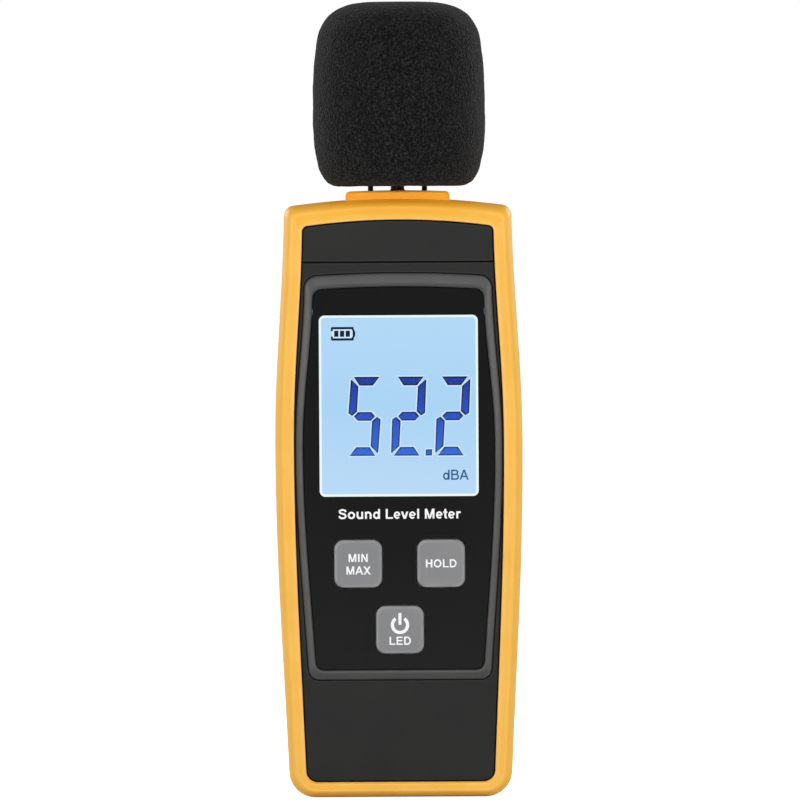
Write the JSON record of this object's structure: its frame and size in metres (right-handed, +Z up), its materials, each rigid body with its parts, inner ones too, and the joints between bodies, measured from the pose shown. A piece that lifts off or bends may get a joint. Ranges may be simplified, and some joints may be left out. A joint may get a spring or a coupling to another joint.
{
  "type": "sound level meter",
  "caption": "Hand-held sound level meter with a soft rim, a segment display behind a window, sprung keys, a clip-in battery door and a foam windscreen over its microphone cage.",
  "frame": {"origin": "under the middle of the case, on the plane of its flat bottom end; the microphone's axis is the vertical through it", "axes": "+Z up from the bottom end to the windscreen, -Y out of the display, +X to the right as the display is read"},
  "size_m": [0.0592, 0.0412, 0.19],
  "materials": {
    "bumper": "satin orange soft-touch rubber",
    "shell": "black, fine texture",
    "bezel": "dark grey, satin",
    "gloss_panel": "gloss black",
    "window": "clear, gloss",
    "lcd": "lit pale blue display cell",
    "key": "grey, satin",
    "foam": "black open-cell foam",
    "cage": "black, satin",
    "black_rubber": "black, matt",
    "carbon": "matt carbon-filled rubber",
    "silicone": "pale grey, matt",
    "circuit_board": "green solder mask",
    "chip": "black epoxy",
    "white_plastic": "white",
    "led": "pale yellow resin",
    "steel": "plain plated steel",
    "brass": "turned brass",
    "cell_sleeve": "dark blue-grey shrink sleeve over a steel can",
    "wire_red": "red insulation",
    "wire_black": "black insulation"
  },
  "bodies": {
    "case": {"front_bumper": "bumper", "rear_bumper": "bumper", "front_shell": "shell", "rear_shell": "shell", "bezel_frame": "bezel", "display_panel": "gloss_panel", "display_window": "window", "lcd_frame": "white_plastic", "lcd_glass": "lcd", "backlight_panel": "white_plastic", "backlight_led_left": "led", "backlight_led_right": "led", "zebra_strip": "black_rubber", "keypad_mat": "silicone", "main_board": "circuit_board", "controller_chip": "chip", "preamp_chip": "chip", "capacitor_left": "steel", "capacitor_right": "steel", "crystal": "steel", "battery_left": "cell_sleeve", "battery_middle": "cell_sleeve", "battery_right": "cell_sleeve", "battery_spring_left": "steel", "battery_spring_middle": "steel", "battery_spring_right": "steel", "contact_minus": "steel", "contact_plus": "steel", "contact_bridge_top": "steel", "contact_bridge_bottom": "steel", "battery_wire_minus": "wire_black", "battery_wire_plus": "wire_red", "tripod_nut": "brass", "mic_cage": "cage", "mic_grommet": "black_rubber", "mic_capsule": "steel", "mic_wire_signal": "wire_red", "mic_wire_ground": "wire_black", "case_screw_1": "steel", "case_screw_2": "steel", "case_screw_3": "steel", "case_screw_4": "steel", "board_screw_1": "steel", "board_screw_2": "steel", "board_screw_3": "steel", "board_screw_4": "steel"},
    "key_min_max": {"key_min_max": "key", "key_pill_min_max": "carbon"},
    "key_hold": {"key_hold": "key", "key_pill_hold": "carbon"},
    "key_power": {"key_power": "key", "key_pill_power": "carbon"},
    "windscreen": {"windscreen": "foam"},
    "battery_door": {"battery_door": "shell"},
    "door_latch": {"door_latch": "shell"}
  },
  "joints": [
    {"name": "key_min_max_press", "type": "slide", "parent": "case", "child": "key_min_max", "axis": [0, 1, 0], "range_m": [0, 0.001], "stiffness_N_per_m": 800, "springref_m": -0.0003},
    {"name": "key_hold_press", "type": "slide", "parent": "case", "child": "key_hold", "axis": [0, 1, 0], "range_m": [0, 0.001], "stiffness_N_per_m": 800, "springref_m": -0.0003},
    {"name": "key_power_press", "type": "slide", "parent": "case", "child": "key_power", "axis": [0, 1, 0], "range_m": [0, 0.001], "stiffness_N_per_m": 800, "springref_m": -0.0003},
    {"name": "windscreen_lift", "type": "slide", "parent": "case", "child": "windscreen", "axis": [0, 0, 1], "range_m": [0, 0.035]},
    {"name": "battery_door_hinge", "type": "hinge", "parent": "case", "child": "battery_door", "pos_m": [0, 0.015, 0.0145], "axis": [-1, 0, 0], "range_deg": [0, 70]},
    {"name": "door_latch_flex", "type": "hinge", "parent": "battery_door", "child": "door_latch", "pos_m": [0, 0.0143, 0.063], "axis": [1, 0, 0], "range_deg": [0, 6], "stiffness_Nm_per_rad": 0.3}
  ]
}
